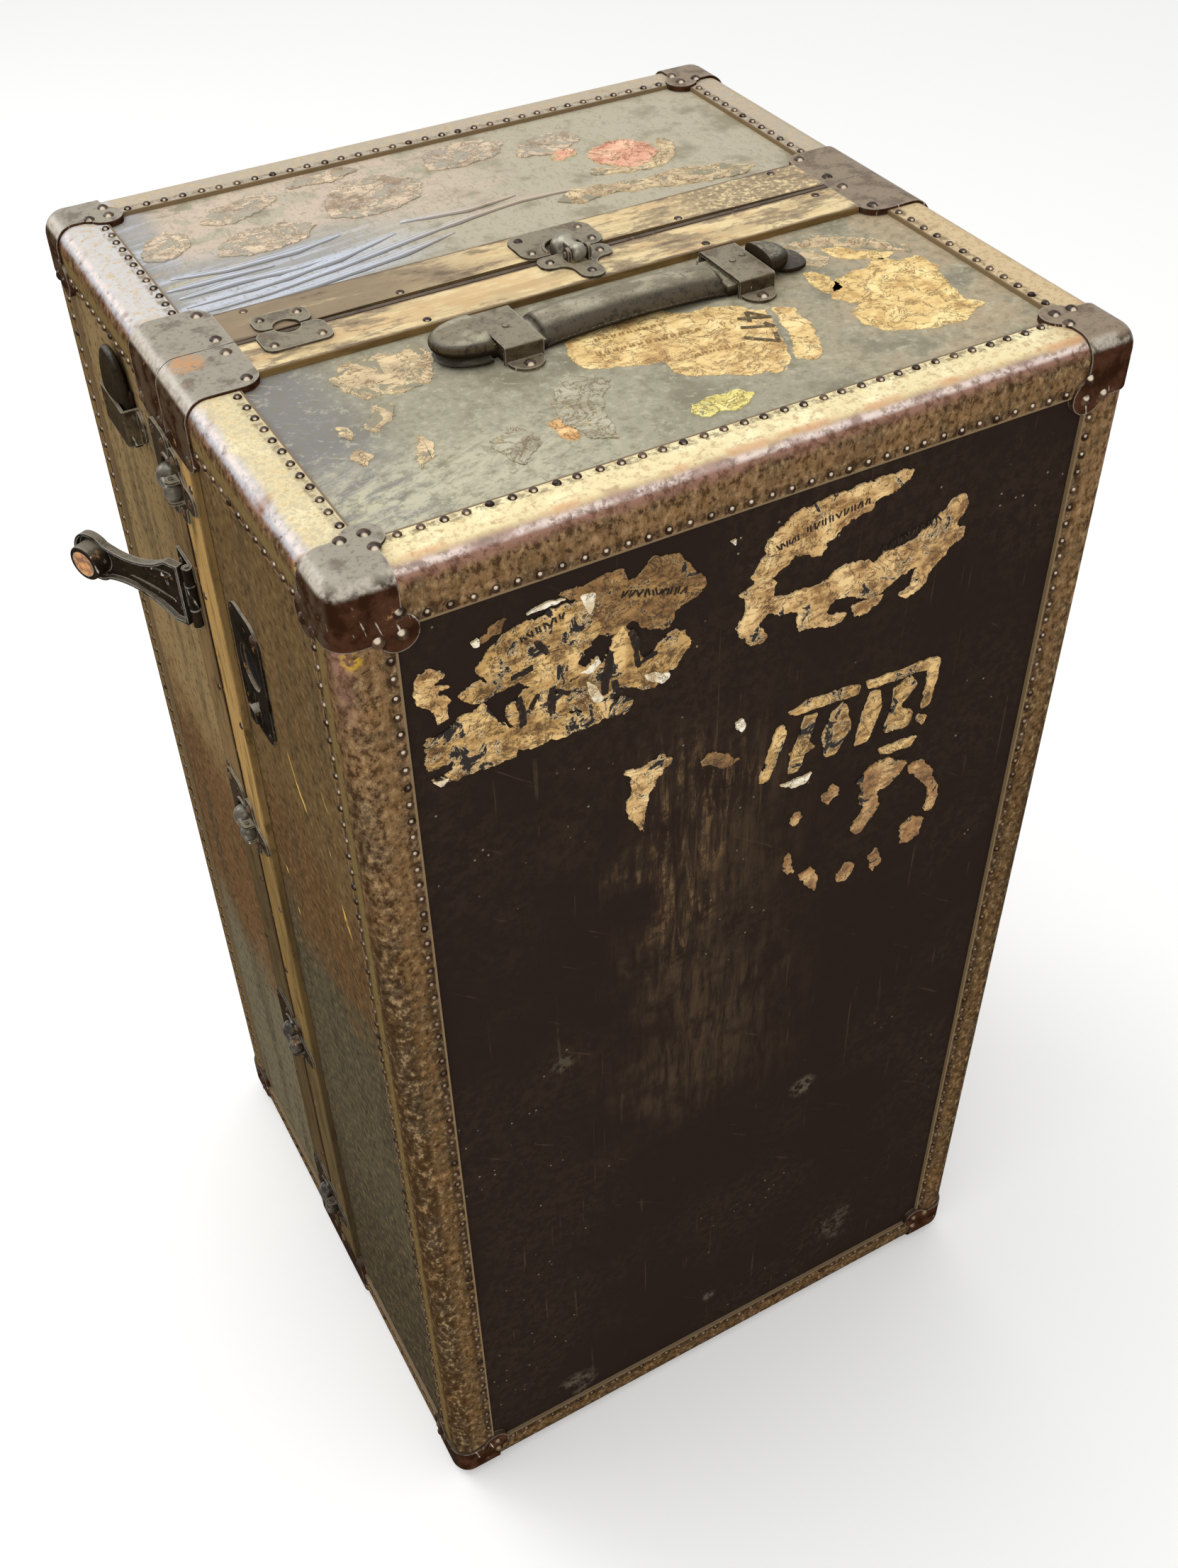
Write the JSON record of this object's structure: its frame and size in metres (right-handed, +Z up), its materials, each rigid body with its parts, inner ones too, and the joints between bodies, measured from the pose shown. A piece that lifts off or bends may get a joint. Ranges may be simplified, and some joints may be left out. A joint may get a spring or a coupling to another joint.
{
  "type": "travel trunk",
  "caption": "Upright travel trunk in two hinged halves with bound edges, capped corners, swinging draw bolts, a hasp and lock, and a sliding top handle.",
  "frame": {"origin": "middle of the plane that the trunk stands on, on the base's bottom slat", "axes": "+X along the front face to its right, +Y from the front face to the back, +Z up"},
  "size_m": [0.6267, 0.5384, 1.0374],
  "materials": {
    "plywood": "plain sanded",
    "canvas": "varnished canvas, scuffed",
    "lining": "matte cloth",
    "rawhide_binding": "varnished, worn",
    "slat": "varnished, worn",
    "cap_steel": "worn lacquer",
    "rivet_steel": "dark, rusted",
    "tongue_wood": "stained",
    "handle_leather": "worn",
    "disc_brass": "tarnished",
    "pin_steel": "dull",
    "slide_steel": "rubbed bright",
    "hardware_steel": "worn lacquer"
  },
  "bodies": {
    "base": {"base_bare_plate": "hardware_steel", "base_bottom_panel": "plywood", "base_canvas": "canvas", "base_cap_rivets": "rivet_steel", "base_corner_caps": "cap_steel", "base_depth_bindings": "rawhide_binding", "base_edge_strips": "hardware_steel", "base_end_caps": "cap_steel", "base_face_bindings": "rawhide_binding", "base_front_panel": "plywood", "base_hardware_screws": "rivet_steel", "base_hinge_leaves": "hardware_steel", "base_left_panel": "plywood", "base_lining": "lining", "base_right_panel": "plywood", "base_slats": "slat", "base_tongues": "tongue_wood", "base_top_panel": "plywood", "draw_bolt_pins": "pin_steel", "draw_bolt_plates": "hardware_steel", "handle_loop_rivets": "rivet_steel", "hinge_pins": "pin_steel", "left_handle_loop": "hardware_steel", "lock_case": "hardware_steel", "lock_plate": "hardware_steel", "right_handle_loop": "hardware_steel"},
    "lid": {"draw_bolt_catches": "hardware_steel", "hasp_leaf": "hardware_steel", "hasp_pin": "pin_steel", "lid_back_panel": "plywood", "lid_bare_plate": "hardware_steel", "lid_bottom_panel": "plywood", "lid_canvas": "canvas", "lid_cap_rivets": "rivet_steel", "lid_corner_caps": "cap_steel", "lid_depth_bindings": "rawhide_binding", "lid_end_caps": "cap_steel", "lid_face_bindings": "rawhide_binding", "lid_hardware_screws": "rivet_steel", "lid_hinge_leaves": "hardware_steel", "lid_left_panel": "plywood", "lid_lining": "lining", "lid_right_panel": "plywood", "lid_slats": "slat", "lid_top_panel": "plywood", "side_handle_loop": "hardware_steel", "side_handle_rivets": "rivet_steel", "side_handle_stub": "handle_leather"},
    "hasp": {"hasp_arm": "hardware_steel", "hasp_disc": "disc_brass"},
    "lock_slide": {"lock_slide": "slide_steel"},
    "top_handle": {"top_handle": "handle_leather"},
    "draw_bolt_lever_1": {"draw_bolt_lever_1": "hardware_steel"},
    "draw_bolt_lever_2": {"draw_bolt_lever_2": "hardware_steel"},
    "draw_bolt_lever_3": {"draw_bolt_lever_3": "hardware_steel"},
    "draw_bolt_lever_4": {"draw_bolt_lever_4": "hardware_steel"},
    "draw_bolt_lever_5": {"draw_bolt_lever_5": "hardware_steel"}
  },
  "joints": [
    {"name": "lid_swing", "type": "hinge", "parent": "base", "child": "lid", "pos_m": [0.2815, 0.006, 0.51], "axis": [0, 0, -1], "range_deg": [0, 170]},
    {"name": "draw_bolt_lift_1", "type": "hinge", "parent": "base", "child": "draw_bolt_lever_1", "pos_m": [0.014, -0.007, 1.0265], "axis": [1, 0, 0], "range_deg": [0, 100]},
    {"name": "draw_bolt_lift_2", "type": "hinge", "parent": "base", "child": "draw_bolt_lever_2", "pos_m": [-0.2835, -0.007, 0.938], "axis": [0, 0, 1], "range_deg": [0, 100]},
    {"name": "draw_bolt_lift_3", "type": "hinge", "parent": "base", "child": "draw_bolt_lever_3", "pos_m": [-0.2835, -0.007, 0.62995], "axis": [0, 0, 1], "range_deg": [0, 100]},
    {"name": "draw_bolt_lift_4", "type": "hinge", "parent": "base", "child": "draw_bolt_lever_4", "pos_m": [-0.2835, -0.007, 0.36496], "axis": [0, 0, 1], "range_deg": [0, 100]},
    {"name": "draw_bolt_lift_5", "type": "hinge", "parent": "base", "child": "draw_bolt_lever_5", "pos_m": [-0.2835, -0.007, 0.112], "axis": [0, 0, 1], "range_deg": [0, 100]},
    {"name": "hasp_swing", "type": "hinge", "parent": "lid", "child": "hasp", "pos_m": [-0.2811, 0.016, 0.838], "axis": [0, 0, 1], "range_deg": [-8, 153]},
    {"name": "lock_slide_lift", "type": "slide", "parent": "base", "child": "lock_slide", "axis": [0, 0, 1], "range_m": [0, 0.008]},
    {"name": "handle_slide", "type": "slide", "parent": "base", "child": "top_handle", "axis": [1, 0, 0], "range_m": [-0.0027, 0.0037]}
  ]
}
